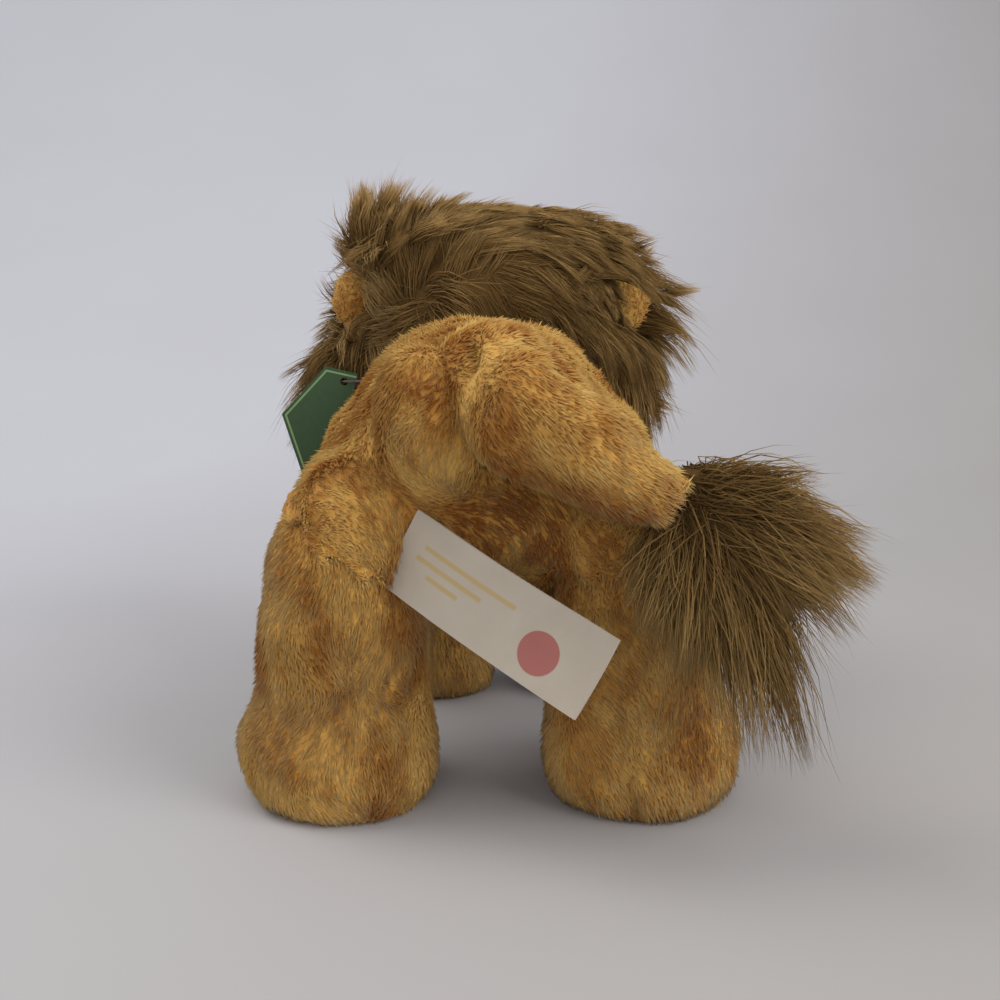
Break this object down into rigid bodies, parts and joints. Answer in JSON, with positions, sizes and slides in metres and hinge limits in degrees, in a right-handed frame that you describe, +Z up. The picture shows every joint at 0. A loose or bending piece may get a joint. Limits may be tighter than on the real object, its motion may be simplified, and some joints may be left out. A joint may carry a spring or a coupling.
{
  "type": "plush lion",
  "caption": "Stuffed toy lion that stands on four paws, with a long-pile mane and tail tuft, a folded card tag and a sewn-in ribbon label.",
  "frame": {"origin": "middle of the overall box in plan, on the surface that the paws stand on", "axes": "+Z up, the lion faces -Y, its left side is +X"},
  "size_m": [0.2014, 0.2606, 0.2051],
  "materials": {
    "golden_plush": "short-pile plush",
    "sole_plush": "short-pile plush",
    "pale_plush": "short-pile plush",
    "long_pile": "long-pile plush",
    "wadding": "loose fibre",
    "pellets": "matte",
    "eye": "gloss",
    "nose": "satin",
    "washer": "matte",
    "ribbon": "satin",
    "card": "satin",
    "thread": "matte"
  },
  "bodies": {
    "torso": {"torso_cover": "golden_plush", "torso_wadding": "wadding"},
    "head": {"head_cover": "golden_plush", "head_wadding": "wadding", "muzzle": "pale_plush", "nose": "nose", "left_eye": "eye", "right_eye": "eye", "left_eye_washer": "washer", "right_eye_washer": "washer", "mane_crown": "long_pile", "mane_left": "long_pile", "mane_right": "long_pile", "mane_nape": "long_pile", "mane_bib": "long_pile"},
    "left_ear_body": {"left_ear": "golden_plush", "left_ear_lining": "pale_plush"},
    "right_ear_body": {"right_ear": "golden_plush", "right_ear_lining": "pale_plush"},
    "left_hind_leg": {"left_hind_leg_cover": "golden_plush", "left_hind_sole": "sole_plush", "left_hind_wadding": "wadding", "left_hind_pellet_bag": "pellets"},
    "right_hind_leg": {"right_hind_leg_cover": "golden_plush", "right_hind_sole": "sole_plush", "right_hind_wadding": "wadding", "right_hind_pellet_bag": "pellets"},
    "left_front_leg": {"left_front_leg_cover": "golden_plush", "left_front_sole": "sole_plush", "left_front_wadding": "wadding", "left_front_pellet_bag": "pellets"},
    "right_front_leg": {"right_front_leg_cover": "golden_plush", "right_front_sole": "sole_plush", "right_front_wadding": "wadding", "right_front_pellet_bag": "pellets"},
    "tail": {"tail_cover": "golden_plush", "tail_wadding": "wadding", "tail_tuft": "long_pile"},
    "label": {"sewn_label": "ribbon"},
    "tag": {"hang_tag": "card", "tag_loop": "thread"}
  },
  "joints": [
    {"name": "head_turn", "type": "hinge", "parent": "torso", "child": "head", "pos_m": [0.01757, -0.0681, 0.141], "axis": [0, 0, 1], "range_deg": [-20, 20], "stiffness_Nm_per_rad": 0.05},
    {"name": "left_ear_flop", "type": "hinge", "parent": "head", "child": "left_ear_body", "pos_m": [0.06109, -0.0681, 0.158], "axis": [0, 0, 1], "range_deg": [-20, 20], "stiffness_Nm_per_rad": 0.002},
    {"name": "right_ear_flop", "type": "hinge", "parent": "head", "child": "right_ear_body", "pos_m": [-0.02595, -0.0681, 0.158], "axis": [0, 0, 1], "range_deg": [-20, 20], "stiffness_Nm_per_rad": 0.002},
    {"name": "left_hind_swing", "type": "hinge", "parent": "torso", "child": "left_hind_leg", "pos_m": [0.06207, 0.06889, 0.074], "axis": [1, 0, 0], "range_deg": [-15, 15], "stiffness_Nm_per_rad": 0.6},
    {"name": "right_hind_swing", "type": "hinge", "parent": "torso", "child": "right_hind_leg", "pos_m": [-0.02693, 0.06889, 0.074], "axis": [1, 0, 0], "range_deg": [-15, 15], "stiffness_Nm_per_rad": 0.6},
    {"name": "left_front_swing", "type": "hinge", "parent": "torso", "child": "left_front_leg", "pos_m": [0.05757, -0.0431, 0.074], "axis": [1, 0, 0], "range_deg": [-15, 15], "stiffness_Nm_per_rad": 0.6},
    {"name": "right_front_swing", "type": "hinge", "parent": "torso", "child": "right_front_leg", "pos_m": [-0.02243, -0.0431, 0.074], "axis": [1, 0, 0], "range_deg": [-15, 15], "stiffness_Nm_per_rad": 0.6},
    {"name": "tail_lift", "type": "hinge", "parent": "torso", "child": "tail", "pos_m": [0.01557, 0.08289, 0.134], "axis": [0, 1, 0], "range_deg": [0, 35], "stiffness_Nm_per_rad": 0.05},
    {"name": "label_flap", "type": "hinge", "parent": "torso", "child": "label", "pos_m": [0.04057, 0.0944, 0.087], "axis": [0.46, 0, -0.8879], "range_deg": [-10, 35], "stiffness_Nm_per_rad": 0.01},
    {"name": "tag_swing", "type": "hinge", "parent": "torso", "child": "tag", "pos_m": [0.06207, -0.02811, 0.1282], "axis": [1, 0, 0], "range_deg": [-8, 25]}
  ]
}
